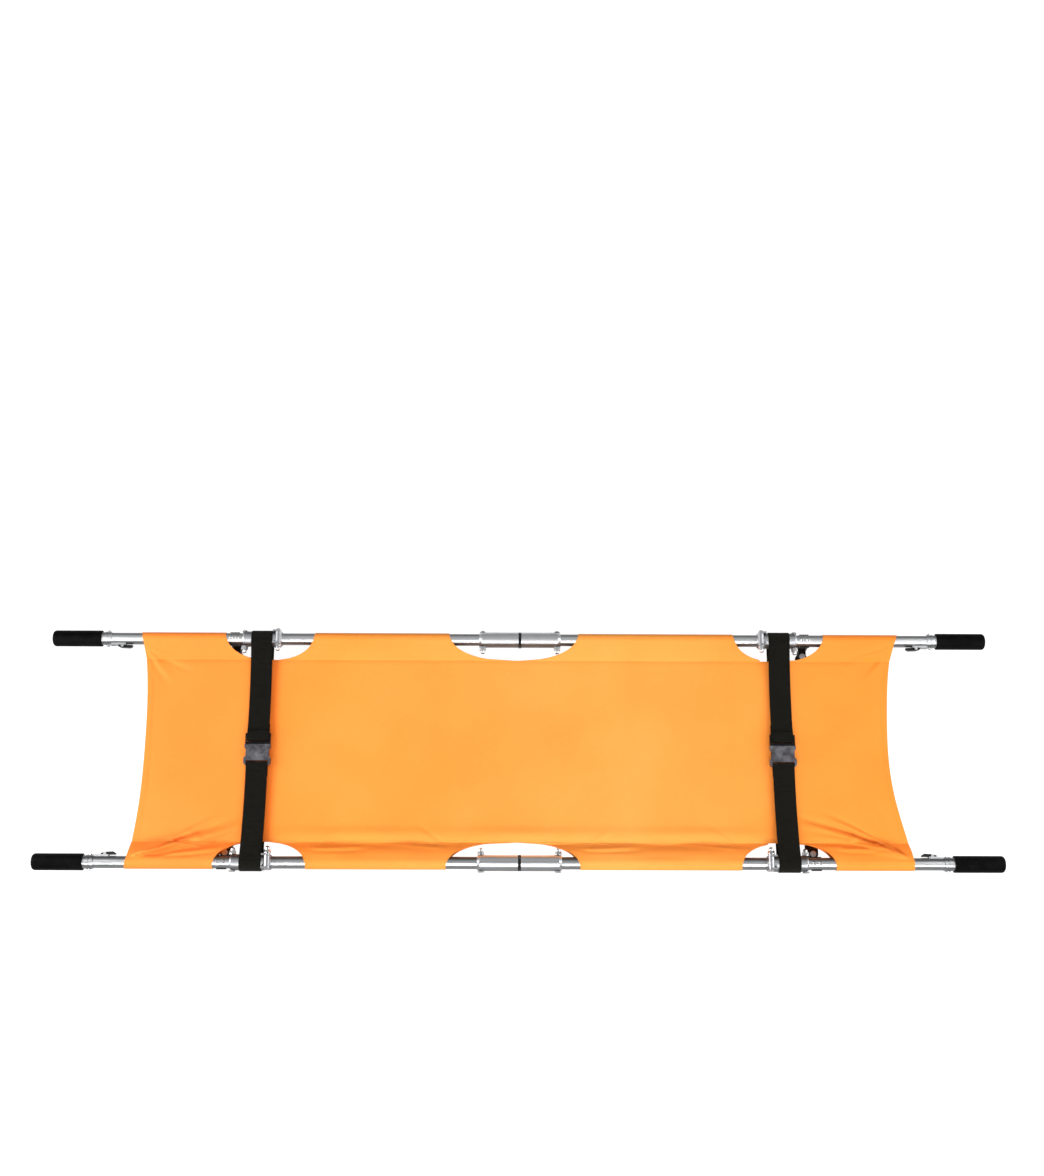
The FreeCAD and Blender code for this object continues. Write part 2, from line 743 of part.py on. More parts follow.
SLING = sling_shape()
gap = cell("run")
hinge = cell("hinge_x")
limits = {
    "head": (-1000, -hinge - gap), "upper": (-hinge + gap, -gap),
    "lower": (gap, hinge - gap), "foot": (hinge + gap, 1000),
}
for name, (start, end) in limits.items():
    slab = Part.makeBox(end - start, 700, 200, V(start, -350, 0))
    keep(f"{name}_sling_panel", soft_feature(f"{name}_panel", SLING.common(slab)))

# --- straps and buckles --------------------------------------------------------------

def strap_shape():
    """Webbing round both poles in YZ, open at the buckle, drawn out along X."""
    width = 2 * cell("strap_half")
    r = cell("sleeve_r") + 0.3 + cell("strap_thick") / 2
    y, z = cell("pole_y"), cell("pole_z")
    stop = cell("buckle_half_y") + 0.5
    mid = cell("buckle_z")
    under = z - 25.2
    bend_y = cell("seam_y") - 15
    lean = 0.165  # slope of the run that leaves the pole, too flat to cut the sleeve
    edges = []
    for side in (-1, 1):
        top = V(0, side * y, z + r)
        out = V(0, side * (y + r), z)
        low = V(0, side * y, z - r)
        bend = V(0, side * bend_y, z + r - lean * (y - bend_y))
        edges.append(Part.makeLine(V(0, side * stop, mid), bend))
        edges.append(Part.makeLine(bend, top))
        edges.append(Part.Arc(top, out, low).toShape())
        edges.append(Part.makeLine(low, V(0, 0, under)))
    solids = []
    half = cell("strap_thick") / 2
    for edge in edges:
        if edge.Curve.TypeId == "Part::GeomCircle":
            middle = V(0, edge.Curve.Center.y, z)
            ring = Part.makeCylinder(r + half, width, middle, V(1, 0, 0))
            ring = ring.cut(Part.makeCylinder(r - half, width, middle, V(1, 0, 0)))
            low_y = middle.y if middle.y > 0 else middle.y - 40
            solids.append(ring.common(Part.makeBox(width, 40, 80, V(0, low_y, z - 40))))
        else:
            a, b = (vertex.Point for vertex in edge.Vertexes)
            across = V(0, -(b - a).z, (b - a).y).normalize() * half
            ribbon = Part.Face(Part.makePolygon([a + across, b + across, b - across,
                                                 a - across, a + across]))
            solids.append(ribbon.extrude(V(width, 0, 0)))
    return solids[0].fuse(solids[1:]).removeSplitter()


STRAPS = {"foot": "strap_foot_x", "head": "strap_head_x"}
for end, alias in STRAPS.items():
    edge_x = cell(alias) - cell("strap_half")
    keep(f"{end}_strap", soft_feature(f"{end}_webbing", strap_shape(), edge_x))


def buckle_socket(name, x):
    """The buckle's housing: waisted sides, a mouth for the prongs, a webbing bar."""
    body = doc.addObject("PartDesign::Body", name + "_body")
    shape = outline(
        body, name + "_outline", "XY_Plane",
        [
            ("-buckle_half_x + 3", "-buckle_half_y"), ("-buckle_half_x", "-buckle_half_y + 4"),
            ("-buckle_half_x", "-22"), ("-waist_half_x", "-16"), ("-waist_half_x", "-2"),
            ("-buckle_half_x + 1", "4"), ("-buckle_half_x + 1", "buckle_split_y"),
            ("buckle_half_x - 1", "buckle_split_y"), ("buckle_half_x - 1", "4"),
            ("waist_half_x", "-2"), ("waist_half_x", "-16"), ("buckle_half_x", "-22"),
            ("buckle_half_x", "-buckle_half_y + 4"), ("buckle_half_x - 3", "-buckle_half_y"),
        ],
    )
    pad(body, name + "_pad", shape, "buckle_high")
    place(body, (x, "0", "buckle_z - buckle_high / 2"))
    slot_x = f"{x} - slot_half_x"
    return cut(
        name, body,
        [
            block(name + "_mouth", ("48.6", "34", "8"), (f"{x} - 24.3", "-20", "buckle_z - 4")),
            block(name + "_windows", ("70", "13", "8"), (f"{x} - 35", "-16", "buckle_z - 4")),
            block(name + "_slot", ("2 * slot_half_x", "slot_width", "20"),
                  (slot_x, "-32", "buckle_z - 10")),
            block(name + "_over_bar", ("2 * slot_half_x", "10", "6"),
                  (slot_x, "-32 + slot_width - 10 - 1", "buckle_z + bar_half_high")),
            block(name + "_under_bar", ("2 * slot_half_x", "10", "6"),
                  (slot_x, "-32 + slot_width - 10 - 1", "buckle_z - bar_half_high - 6")),
        ],
    )


def buckle_prongs(name, x):
    """The other half: two side prongs, a guide and a two bar webbing adjuster."""
    start = "buckle_split_y + 0.4"
    frame_box = block(name + "_frame", ("58", f"buckle_half_y - ({start})", "10"),
                      (f"{x} - 29", start, "buckle_z - 5"))
    arms = [block(name + "_guide", ("8", "26", "5"), (f"{x} - 4", "-12", "buckle_z - 2.5"))]
    for n, side in enumerate(("-22", "17")):
        arms.append(block(f"{name}_arm_{n}", ("5", "30", "6"), (f"{x} + {side}", "-16",
                                                             "buckle_z - 3")))
    for n, side in enumerate(("-24", "18")):
        arms.append(block(f"{name}_hook_{n}", ("6", "9", "6"), (f"{x} + {side}", "-15",
                                                             "buckle_z - 3")))
    raw = fuse(name + "_raw", [frame_box] + arms)
    slots = [
        block(f"{name}_slot_{n}", ("2 * slot_half_x", "slot_width", "20"),
              (f"{x} - slot_half_x", low, "buckle_z - 10"))
        for n, low in enumerate(("17", "28"))
    ]
    return cut(name, raw, slots)


for end, alias in STRAPS.items():
    keep(f"{end}_buckle_socket", buckle_socket(f"{end}_socket_half", alias))
    keep(f"{end}_buckle_prongs", buckle_prongs(f"{end}_prong_half", alias))

# --- check and write -----------------------------------------------------------------

doc.recompute()
failed = [obj.Name for obj in doc.Objects if {"Invalid", "Error"} & set(obj.State)]
for label, obj in pieces.items():
    if obj.Shape.isNull() or not obj.Shape.isValid() or not obj.Shape.Solids:
        failed.append(label)
if failed:
    raise RuntimeError(f"these objects failed: {failed}")
os.makedirs("parts", exist_ok=True)
for label, obj in pieces.items():
    obj.Shape.exportStep(f"parts/{label}.step")
print(len(pieces), "pieces written")
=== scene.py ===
import json
import math

import bpy
import numpy as np
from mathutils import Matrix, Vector


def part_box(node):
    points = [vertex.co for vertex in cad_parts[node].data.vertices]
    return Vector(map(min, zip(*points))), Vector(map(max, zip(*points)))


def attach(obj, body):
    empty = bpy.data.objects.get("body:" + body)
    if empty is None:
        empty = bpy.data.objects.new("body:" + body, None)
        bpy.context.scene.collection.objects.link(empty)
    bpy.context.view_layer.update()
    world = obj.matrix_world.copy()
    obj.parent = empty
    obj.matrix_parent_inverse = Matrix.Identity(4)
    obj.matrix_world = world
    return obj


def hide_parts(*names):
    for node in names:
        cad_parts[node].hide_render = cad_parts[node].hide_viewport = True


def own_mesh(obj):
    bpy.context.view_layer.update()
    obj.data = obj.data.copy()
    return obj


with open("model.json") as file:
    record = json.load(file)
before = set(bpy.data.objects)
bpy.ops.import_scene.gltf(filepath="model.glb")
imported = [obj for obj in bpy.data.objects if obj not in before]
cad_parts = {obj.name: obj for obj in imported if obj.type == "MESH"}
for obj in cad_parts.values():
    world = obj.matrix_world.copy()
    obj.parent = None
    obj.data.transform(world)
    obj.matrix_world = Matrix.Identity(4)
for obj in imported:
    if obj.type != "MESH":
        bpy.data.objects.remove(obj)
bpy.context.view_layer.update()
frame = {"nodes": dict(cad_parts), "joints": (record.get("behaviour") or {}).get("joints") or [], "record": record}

MM = 0.001
JOINTS = {joint["name"]: joint for joint in frame["joints"]}

# --- places read from the frame, and the sling's own measures -------------------------

POLE_LOW, POLE_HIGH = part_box("far_foot_pole")
POLE_Y = (POLE_LOW.y + POLE_HIGH.y) / 2
POLE_Z = (POLE_LOW.z + POLE_HIGH.z) / 2
TUBE_R = (POLE_HIGH.z - POLE_LOW.z) / 2
SOCKET_LOW, SOCKET_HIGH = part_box("far_foot_hinge_socket")
SOCKET_R = (SOCKET_HIGH.y - SOCKET_LOW.y) / 2
HINGE_X = JOINTS["fold_length"]["pos_m"][0]
SIDES = {"near": -1, "far": 1}
PANELS = {
    "head": (-1.0, -HINGE_X), "upper": (-HINGE_X, 0.0),
    "lower": (0.0, HINGE_X), "foot": (HINGE_X, 1.0),
}
# the spreaders' pivots are inside the pole axes, and the width folds by this angle
PIVOT_INSET = 28 * MM
FOLD_ANGLE = math.radians(78)
CLOSED_PITCH = 2 * (POLE_Y - PIVOT_INSET) * math.cos(FOLD_ANGLE) + 2 * PIVOT_INSET

# where the sling ends on the poles, and how far each end edge dips between them
END_X = {"head": -0.891, "foot": 0.893}
END_DIP = {"head": 0.0215, "foot": 0.0375}
# how the dip swells from the far pole (0) to the near pole (1), as a polynomial
END_SWELL = {"head": (1.678, -3.293, 4.757, -1.999), "foot": (1.715, -4.955, 10.425, -7.32)}
# the seams between the main sheets and their pockets, and the sling's lowest line
SEAM_Y = POLE_Y - 48 * MM
SEAM_Z = POLE_Z - 8 * MM
SEAM_DIP = 1.1 * MM
MIDDLE_Z = POLE_Z - 19 * MM
CLOTH = 0.8 * MM
CELL = 4 * MM
POCKET_R = TUBE_R + 0.9 * MM
# hand holes on both sides: the middle and half length along X, and the outline's shape
HOLES = ((-0.588, 0.105), (-0.0145, 0.1525), (0.610, 0.107))
HOLE_OUTER = POLE_Y + 18 * MM
HOLE_POWER = 2.4
# the hand hole that bounds each end of a panel's pockets, or none at an end edge
POCKET_ENDS = {"head": (None, 0), "upper": (0, 1), "lower": (1, 2), "foot": (2, None)}

# --- materials ------------------------------------------------------------------------

PLAIN = (1.0, 1.0, 1.0)


def grey(level):
    """A grey as a colour's three parts."""
    return (level,) * 3


def set_stops(color_ramp, stops):
    """Give a colour ramp its stops, each a position and a colour."""
    elements = color_ramp.elements
    while len(elements) < len(stops):
        elements.new(0.5)
    for element, (position, color) in zip(elements, stops):
        element.position = position
        element.color = (*color, 1)


class Nodes:
    """A material's node tree with short ways to add and join nodes."""

    def __init__(self, name):
        self.material = bpy.data.materials.new(name)
        self.material.use_nodes = True
        self.tree = self.material.node_tree
        self.tree.nodes.clear()
        self.shader = self.add("ShaderNodeBsdfPrincipled")
        output = self.add("ShaderNodeOutputMaterial")
        self.join(self.shader.outputs[0], output.inputs["Surface"])
        self.place = self.add("ShaderNodeTexCoord").outputs["Object"]

    def add(self, kind, **settings):
        node = self.tree.nodes.new(kind)
        for key, value in settings.items():
            setattr(node, key, value)
        return node

    def join(self, source, target):
        self.tree.links.new(source, target)

    def stretched(self, scale):
        """Object coordinates scaled along each axis."""
        mapping = self.add("ShaderNodeMapping")
        mapping.inputs["Scale"].default_value = scale
        self.join(self.place, mapping.inputs["Vector"])
        return mapping.outputs[0]

    def noise(self, scale, detail, vector=None):
        node = self.add("ShaderNodeTexNoise")
        node.inputs["Scale"].default_value = scale
        node.inputs["Detail"].default_value = detail
        self.join(vector or self.place, node.inputs["Vector"])
        return node.outputs["Fac"]

    def wave(self, scale, direction, distortion=0.0):
        node = self.add("ShaderNodeTexWave", bands_direction=direction)
        node.inputs["Scale"].default_value = scale
        node.inputs["Distortion"].default_value = distortion
        self.join(self.place, node.inputs["Vector"])
        return node.outputs["Fac"]

    def axes(self, vector):
        """A vector's X, Y and Z."""
        split = self.add("ShaderNodeSeparateXYZ")
        self.join(vector, split.inputs[0])
        return split.outputs

    def math(self, operation, first, second):
        node = self.add("ShaderNodeMath", operation=operation)
        for socket, value in zip(node.inputs, (first, second)):
            if isinstance(value, (int, float)):
                socket.default_value = value
            else:
                self.join(value, socket)
        return node.outputs[0]

    def weighed(self, first, second, share):
        """The sum of a share of the first value and the rest of the second."""
        part = self.math("MULTIPLY", first, share)
        return self.math("ADD", part, self.math("MULTIPLY", second, 1 - share))

    def spread(self, value, reach=1.0):
        """A value that runs from -reach to reach, brought to 0 to 1."""
        return self.math("ADD", self.math("MULTIPLY", value, 0.5 / reach), 0.5)

    def ramp(self, factor, stops):
        node = self.add("ShaderNodeValToRGB")
        set_stops(node.color_ramp, stops)
        self.join(factor, node.inputs[0])
        return node.outputs[0]

    def multiplied(self, first, second):
        """One colour multiplied by another."""
        mix = self.add("ShaderNodeMix", data_type="RGBA", blend_type="MULTIPLY")
        mix.inputs["Factor"].default_value = 1.0
        self.join(first, mix.inputs["A"])
        self.join(second, mix.inputs["B"])
        return mix.outputs["Result"]

    def bump(self, height, strength, distance, under=None):
        node = self.add("ShaderNodeBump")
        node.inputs["Strength"].default_value = strength
        node.inputs["Distance"].default_value = distance
        self.join(height, node.inputs["Height"])
        if under:
            self.join(under, node.inputs["Normal"])
        return node.outputs[0]

    def paint(self, color):
        self.join(color, self.shader.inputs["Base Color"])

    def roughness(self, factor, low, high):
        value = self.ramp(factor, [(0.3, grey(low)), (0.7, grey(high))])
        self.join(value, self.shader.inputs["Roughness"])

    def finish(self, normal=None, **constants):
        if normal:
            self.join(normal, self.shader.inputs["Normal"])
        for name, value in constants.items():
            self.shader.inputs[name.replace("_", " ")].default_value = value
        return self.material


# painted highlight and painted shade on each side's metal, by which way its surface faces, from -Y (0) to +Y (1)
PAINTED_SHINE = {
    "near": (
        (0.01, 0.2), (0.06, 0.2), (0.12, 0.3), (0.185, 0.32), (0.255, 0.5), (0.325, 0.72),
        (0.425, 0.66), (0.525, 0.7), (0.6, 0.62), (0.68, 0.42), (0.76, 0.2), (0.87, 0.22),
    ),
    "far": (
        (0.02, 0.2), (0.1, 0.2), (0.17, 0.36), (0.245, 0.6), (0.325, 0.9), (0.4, 1.0),
        (0.59, 1.0), (0.67, 0.85), (0.73, 0.5), (0.79, 0.26), (0.86, 0.2),
    ),
}
# the centre sleeves' own painted highlight and painted shade, set the same way
SLEEVE_PAINTED_SHINE = {
    "near": (
        (0.04, 0.22), (0.1, 0.34), (0.185, 0.42), (0.28, 0.5), (0.375, 0.84), (0.475, 0.6),
        (0.575, 0.86), (0.68, 1.0), (0.88, 1.0),
    ),
    "far": (
        (0.02, 0.2), (0.1, 0.2), (0.17, 0.34), (0.245, 0.54), (0.325, 0.84), (0.4, 1.0),
        (0.7, 1.0), (0.8, 0.66), (0.88, 0.55),
    ),
}


def metal(name, light, dark, low, high, grain=(6, 400, 400), painted_shine=PAINTED_SHINE):
    """Drawn or turned metal: fine lines, smudges, and a painted highlight and painted shade that follow which way
    the surface faces.
    """
    m = Nodes(name)
    lines = m.noise(12, 6, m.stretched(grain))
    smudge = m.noise(38, 5)
    tone = m.weighed(lines, smudge, 0.6)
    # painted highlight and painted shade: a brightness set by the object normal's Y
    facing = m.spread(m.axes(m.add("ShaderNodeTexCoord").outputs["Normal"])["Y"])
    painted_shines = {side: m.ramp(facing, [(at, grey(level)) for at, level in stops])
              for side, stops in painted_shine.items()}
    # a lit copy of the painted light for each side of the stretcher: near below Y 0, far above it
    painted_light = m.add("ShaderNodeMix", data_type="RGBA")
    m.join(m.math("GREATER_THAN", m.axes(m.place)["Y"], 0), painted_light.inputs["Factor"])
    m.join(painted_shines["near"], painted_light.inputs["A"])
    m.join(painted_shines["far"], painted_light.inputs["B"])
    color = m.ramp(tone, [(0.3, dark), (0.62, light)])
    m.paint(m.multiplied(color, painted_light.outputs["Result"]))
    m.roughness(tone, high, low)
    skin = m.bump(lines, 0.16, 0.0002, m.bump(smudge, 0.08, 0.0006))
    return m.finish(skin, Metallic=1.0)


def moulded(name, color, worn, low, high, grain=900, depth=0.25):
    """Moulded plastic or rubber with a fine skin grain and paler worn patches."""
    m = Nodes(name)
    skin = m.noise(grain, 3)
    wear = m.noise(60, 6)
    m.paint(m.ramp(wear, [(0.45, color), (0.75, worn)]))
    m.roughness(wear, low, high)
    return m.finish(m.bump(skin, depth, 0.0003), Specular_IOR_Level=0.22)


def rubber_grip():
    """Black rubber with a shallow pattern of rings and a matt skin."""
    m = Nodes("grip_rubber")
    skin = m.noise(1400, 3)
    dust = m.noise(45, 6)
    rings = m.wave(120, "X")
    m.paint(m.ramp(dust, [(0.4, grey(0.0015)), (0.8, (0.005, 0.005, 0.0052))]))
    m.roughness(dust, 0.5, 0.68)
    normal = m.bump(skin, 0.2, 0.0003, m.bump(rings, 0.35, 0.0004))
    return m.finish(normal, Specular_IOR_Level=0.03)


CLOTH_TONES = (
    (0.25, (0.87, 0.286, 0.04)), (0.5, (0.9, 0.327, 0.056)), (0.8, (0.92, 0.364, 0.078)),
)
# painted shade: the cloth is darker towards its ends; 0 to 1 is X from -1 m to 1 m
PAINTED_END_SHADE = (
    (0.12, (0.97, 0.7, 0.53)), (0.3, (0.99, 0.88, 0.72)), (0.62, PLAIN), (0.9, (1.0, 0.79, 0.52)),
)
# painted shadow: darker again in a band along each strap, where its shadow falls; 0 to 1 is the same
PAINTED_STRAP_SHADOW = (
    (0.1835, PLAIN), (0.186, (0.94, 0.68, 0.5)), (0.216, (0.94, 0.68, 0.5)), (0.2205, PLAIN),
    (0.784, PLAIN), (0.791, (0.98, 0.88, 0.84)), (0.818, (0.98, 0.88, 0.84)), (0.82, PLAIN),
)
# painted shade: and along the near seam, on the pole's side of it; 0 to 1 is Y over SHADE_REACH both ways
SHADE_REACH = 0.3
PAINTED_SEAM_SHADE = (
    (0.083, PLAIN), (0.105, (0.98, 0.86, 0.76)), (0.13, (0.97, 0.84, 0.74)), (0.144, PLAIN),
)


def sling_cloth():
    """Orange coated cloth: plain weave, faint slubs, and painted shade towards the ends, beside each strap and
    along the near seam.
    """
    m = Nodes("sling_cloth")
    warp = m.wave(420, "X", 0.6)
    weft = m.wave(420, "Y", 0.6)
    weave = m.math("MULTIPLY", warp, weft)
    slub = m.noise(90, 5, m.stretched((1, 7, 1)))
    cloud = m.noise(5.5, 4)
    tone = m.weighed(slub, cloud, 0.35)
    place = m.axes(m.place)
    along = m.spread(place["X"])
    # a slightly uneven X, for the edges of the painted strap shadows
    shadow_along = m.math("ADD", along, m.math("MULTIPLY", m.noise(30, 3), 0.003))
    across = m.spread(place["Y"], SHADE_REACH)
    color = m.ramp(tone, CLOTH_TONES)
    # the painted shade and painted strap shadows, multiplied into the cloth's colour
    for factor, painted_light in ((along, PAINTED_END_SHADE), (shadow_along, PAINTED_STRAP_SHADOW), (across, PAINTED_SEAM_SHADE)):
        color = m.multiplied(color, m.ramp(factor, painted_light))
    m.paint(color)
    m.roughness(tone, 0.58, 0.72)
    normal = m.bump(weave, 0.25, 0.0003, m.bump(m.noise(55, 5), 0.18, 0.002))
    return m.finish(normal, Specular_IOR_Level=0.2)


def webbing():
    """Black nylon webbing: ribs across the width, herringbone, a dusty bloom."""
    m = Nodes("strap_webbing")
    ribs = m.wave(330, "Y", 0.3)
    twill = m.wave(200, "DIAGONAL", 0.5)
    weave = m.weighed(ribs, twill, 0.6)
    bloom = m.noise(170, 7, m.stretched((1, 0.6, 1)))
    colors = [(0.26, (0.0003, 0.0003, 0.0002)), (0.56, (0.0135, 0.013, 0.0098))]
    m.paint(m.ramp(m.math("MULTIPLY", weave, m.math("ADD", bloom, 0.42)), colors))
    m.roughness(bloom, 0.55, 0.8)
    wrinkles = m.noise(60, 3, m.stretched((0.5, 1.6, 1)))
    return m.finish(m.bump(weave, 0.8, 0.0008, m.bump(wrinkles, 0.8, 0.004)),
                    Specular_IOR_Level=0.06)


def thread():
    """Orange sewing thread."""
    m = Nodes("sling_thread")
    m.paint(m.ramp(m.noise(600, 2), [(0.3, (0.62, 0.16, 0.012)), (0.7, (0.78, 0.24, 0.03))]))
    return m.finish(m.bump(m.noise(2500, 2), 0.3, 0.0002), Roughness=0.7)


MATERIALS = {
    "pole_tube": metal("pole_aluminium", (0.94, 0.95, 0.97), (0.78, 0.79, 0.8), 0.3, 0.42),
    "handle_tube": metal("handle_aluminium", (0.92, 0.93, 0.95), (0.75, 0.76, 0.78), 0.3, 0.42),
    "centre_sleeve": metal(
        "sleeve_aluminium", (0.9, 0.91, 0.93), (0.7, 0.71, 0.73), 0.32, 0.46,
        grain=(14, 300, 300), painted_shine=SLEEVE_PAINTED_SHINE,
    ),
    "collar": metal(
        "collar_aluminium", (0.9, 0.91, 0.93), (0.64, 0.65, 0.67), 0.3, 0.42,
        grain=(300, 14, 14),
    ),
    "hinge_casting": metal(
        "hinge_casting", (0.7, 0.71, 0.73), (0.46, 0.47, 0.49), 0.38, 0.52, grain=(30, 30, 30),
    ),
    "steel_fastener": metal(
        "zinc_steel", (0.97, 0.97, 0.98), (0.85, 0.85, 0.87), 0.24, 0.4, grain=(60, 60, 60),
    ),
    "spreader_steel": moulded(
        "powder_coat", (0.012, 0.012, 0.013), (0.03, 0.03, 0.032), 0.4, 0.6, grain=700, depth=0.3,
    ),
    "leg_nylon": moulded("leg_nylon", (0.008, 0.008, 0.009), (0.022, 0.022, 0.023), 0.42, 0.6),
    "latch_plastic": moulded("latch_plastic", grey(0.005), (0.014, 0.014, 0.015), 0.35, 0.5),
    "buckle_socket": moulded(
        "buckle_grey", (0.05, 0.048, 0.056), (0.15, 0.148, 0.16), 0.22, 0.4,
    ),
    "buckle_prongs": moulded("buckle_black", grey(0.0015), (0.005, 0.005, 0.0055), 0.3, 0.45),
    "grip_rubber": rubber_grip(),
    "sling_fabric": sling_cloth(),
    "strap_webbing": webbing(),
}
THREAD = thread()
# painted shade: near black, for the rings that fill the gaps between the centre sleeves
SHADE_BAND = moulded("band_painted_shade", grey(0.003), grey(0.008), 0.7, 0.9)
for part in frame["record"]["subparts"]:
    node = frame["nodes"][part["node"]]
    node.data.materials.clear()
    node.data.materials.append(MATERIALS[part["material_slot"]])

# --- mesh tools -----------------------------------------------------------------------


def rim_edges(mesh, first):
    """The edges of the faces from number first on, which form a thin sheet's rim."""
    found = set()
    for polygon in mesh.polygons[first:]:
        found.update(mesh.loops[i].edge_index for i in polygon.loop_indices)
    return found


def new_piece(name, verts, faces, material, smooth=True, rim=None):
    """A new object; the faces from number rim on, if given, get sharp edges."""
    mesh = bpy.data.meshes.new(name)
    mesh.from_pydata([tuple(v) for v in verts], [], faces)
    sharp = rim_edges(mesh, rim) if rim is not None else ()
    piece = bpy.data.objects.new(name, mesh)
    bpy.context.scene.collection.objects.link(piece)
    mesh.materials.append(material)
    if smooth:
        mesh.polygons.foreach_set("use_smooth", [True] * len(mesh.polygons))
    for index in sharp:
        mesh.edges[index].use_edge_sharp = True
    return piece


def grid_faces(rows, columns, start=0, flip=False):
    """The quads of a grid of points that are numbered row by row."""
    faces = []
    for i in range(rows - 1):
        for j in range(columns - 1):
            a = start + i * columns + j
            quad = (a, a + 1, a + columns + 1, a + columns)
            faces.append(quad[::-1] if flip else quad)
    return faces


def sheet_mesh(points, thickness):
    """A closed thin sheet from a grid of points: its top side, its underside and its rim."""
    rows, columns, _ = points.shape
    along = np.gradient(points, axis=0)
    across = np.gradient(points, axis=1)
    normal = np.cross(along, across)
    normal /= np.maximum(np.linalg.norm(normal, axis=2, keepdims=True), 1e-12)
    top = points + normal * thickness / 2
    low = points - normal * thickness / 2
    verts = np.concatenate([top.reshape(-1, 3), low.reshape(-1, 3)])
    count = rows * columns
    faces = grid_faces(rows, columns, 0, True) + grid_faces(rows, columns, count)
    rim = list(range(columns))
    rim += [i * columns + columns - 1 for i in range(1, rows)]
    rim += [(rows - 1) * columns + j for j in range(columns - 2, -1, -1)]
    rim += [i * columns for i in range(rows - 2, 0, -1)]
    flat = len(faces)
    for a, b in zip(rim, rim[1:] + rim[:1]):
        faces.append((a, b, b + count, a + count)[::-1])
    return verts, faces, flat


# --- sling ----------------------------------------------------------------------------


def bell(distance, width):
    """One at no distance, fading smoothly to none over about twice the width."""
    return np.exp(-((distance / width) ** 2))


def fold(x, y, start, end, width, height):
    """A crease from start that fades out at end: a ridge with a sharper valley beside it."""
    start, end = np.array(start), np.array(end)
    length = np.linalg.norm(end - start)
    direction = (end - start) / length
    along = ((x - start[0]) * direction[0] + (y - start[1]) * direction[1]) / length
    side = -(x - start[0]) * direction[1] + (y - start[1]) * direction[0]
    side = side + 0.10 * length * along * (1 - along)
    spread = width * (0.35 + 1.1 * np.clip(along, 0, 1))
    fade = np.clip(along / 0.15, 0, 1) * np.clip((1 - along) / 0.45, 0, 1)
    fade = fade * fade * (3 - 2 * fade)
    ridge = bell(side, spread)
    valley = bell(side + 1.25 * spread, 0.7 * spread)
    return height * fade * (ridge - 0.9 * valley)


# reach along the poles, rise across them, width and height of each corner crease, in mm
CORNER_CREASES = (
    (290, 88, 10, 9.0), (262, 58, 8, 7.0), (225, 108, 8, 5.0), (190, 62, 6, 6.0),
    (235, 28, 6, 5.0),
)
# how much each end's pull heightens its creases
PULL = {"head": 1.5, "foot": 1.0}
# reach and drop of the weak creases at the far corners, in m
FAR_CREASES = ((0.15, 0.05), (0.09, 0.09))
# reach, rise, width and height of the creases beside each near hand hole, in m
HOLE_CREASES = ((0.17, 0.014, 0.006, 0.0036), (0.09, 0.055, 0.007, 0.0016))


def corner_folds():
    """Creases that the end pull draws from the near corners, and weak ones on the far side."""
    folds = []
    for end, direction in (("head", 1), ("foot", -1)):
        corner = END_X[end]
        for reach, rise, width, height in CORNER_CREASES:
            start = (corner + direction * 0.012, -POLE_Y + 0.012)
            tip = (corner + direction * reach * MM, -POLE_Y + 0.012 + rise * MM)
            folds.append((start, tip, width * MM, height * PULL[end] * MM))
        for reach, drop in FAR_CREASES:
            start = (corner + direction * 0.01, POLE_Y - 0.02)
            tip = (corner + direction * reach, POLE_Y - 0.02 - drop)
            folds.append((start, tip, 9 * MM, 1.6 * MM))
    for middle, half in HOLES:
        for direction in (-1, 1):
            start = (middle + direction * half * 0.97, -POLE_Y + 0.03)
            for reach, rise, width, height in HOLE_CREASES:
                tip = (start[0] + direction * reach, start[1] + rise)
                folds.append((start, tip, width, height))
    return folds


FOLDS = corner_folds()
# the height of the trough beside the near seam, and how wide the relief fades at a pole
TROUGH = 5 * MM
POLE_FADE = 14 * MM


def ripples(x, y):
    """Slow waves all over the cloth, and a quicker one towards the near edge."""
    height = 0.7 * MM * np.sin(21 * x + 3.1 * np.sin(9 * y) + 0.6)
    height += 0.5 * MM * np.sin(47 * x - 13 * y + 1.1) * np.cos(19 * y + 4 * x)
    near_edge = np.clip((-y - 0.13) / 0.08, 0, 1)
    return height + near_edge * 0.8 * MM * np.sin(38 * x + 30 * y + 0.4)


def near_trough(x, y):
    """A swell inside the near seam and a valley outside it, away from the end edges."""
    strength = 0.75 + 0.25 * np.sin(17 * x + 1.2)
    middle = np.clip((0.62 - np.abs(x)) / 0.1, 0, 1)
    past_seam = -y - SEAM_Y
    swell, valley = bell(past_seam + 20 * MM, 13 * MM), bell(past_seam - 6 * MM, 9 * MM)
    return middle * strength * TROUGH * (swell - valley)


def relief(x, y):
    """How far the cloth stands above its smooth shape, which fades out over the poles."""
    height = ripples(x, y) + near_trough(x, y)
    for start, tip, width, rise in FOLDS:
        height += fold(x, y, start, tip, width, rise)
    return height * np.clip((POLE_Y - np.abs(y)) / POLE_FADE, 0, 1)


def sag(y):
    """The smooth height of the cloth between the seams."""
    share = np.abs(y) / SEAM_Y
    return MIDDLE_Z + (SEAM_Z - MIDDLE_Z) * share ** 2


def end_edge(end, y):
    """The sling's concave end edge."""
    direction = -1 if end == "head" else 1
    across = np.clip((POLE_Y + POCKET_R - y) / (2 * (POLE_Y + POCKET_R)), 0, 1)
    swell = sum(share * across ** power for power, share in enumerate(END_SWELL[end]))
    return END_X[end] - direction * END_DIP[end] * 4 * across * (1 - across) * swell


def panel_limits(name, y):
    """A panel's two ends along X, which are curved at the sling's own ends."""
    low, high = PANELS[name]
    low = end_edge("head", y) if name == "head" else np.full_like(y, low)
    high = end_edge("foot", y) if name == "foot" else np.full_like(y, high)
    return low, high


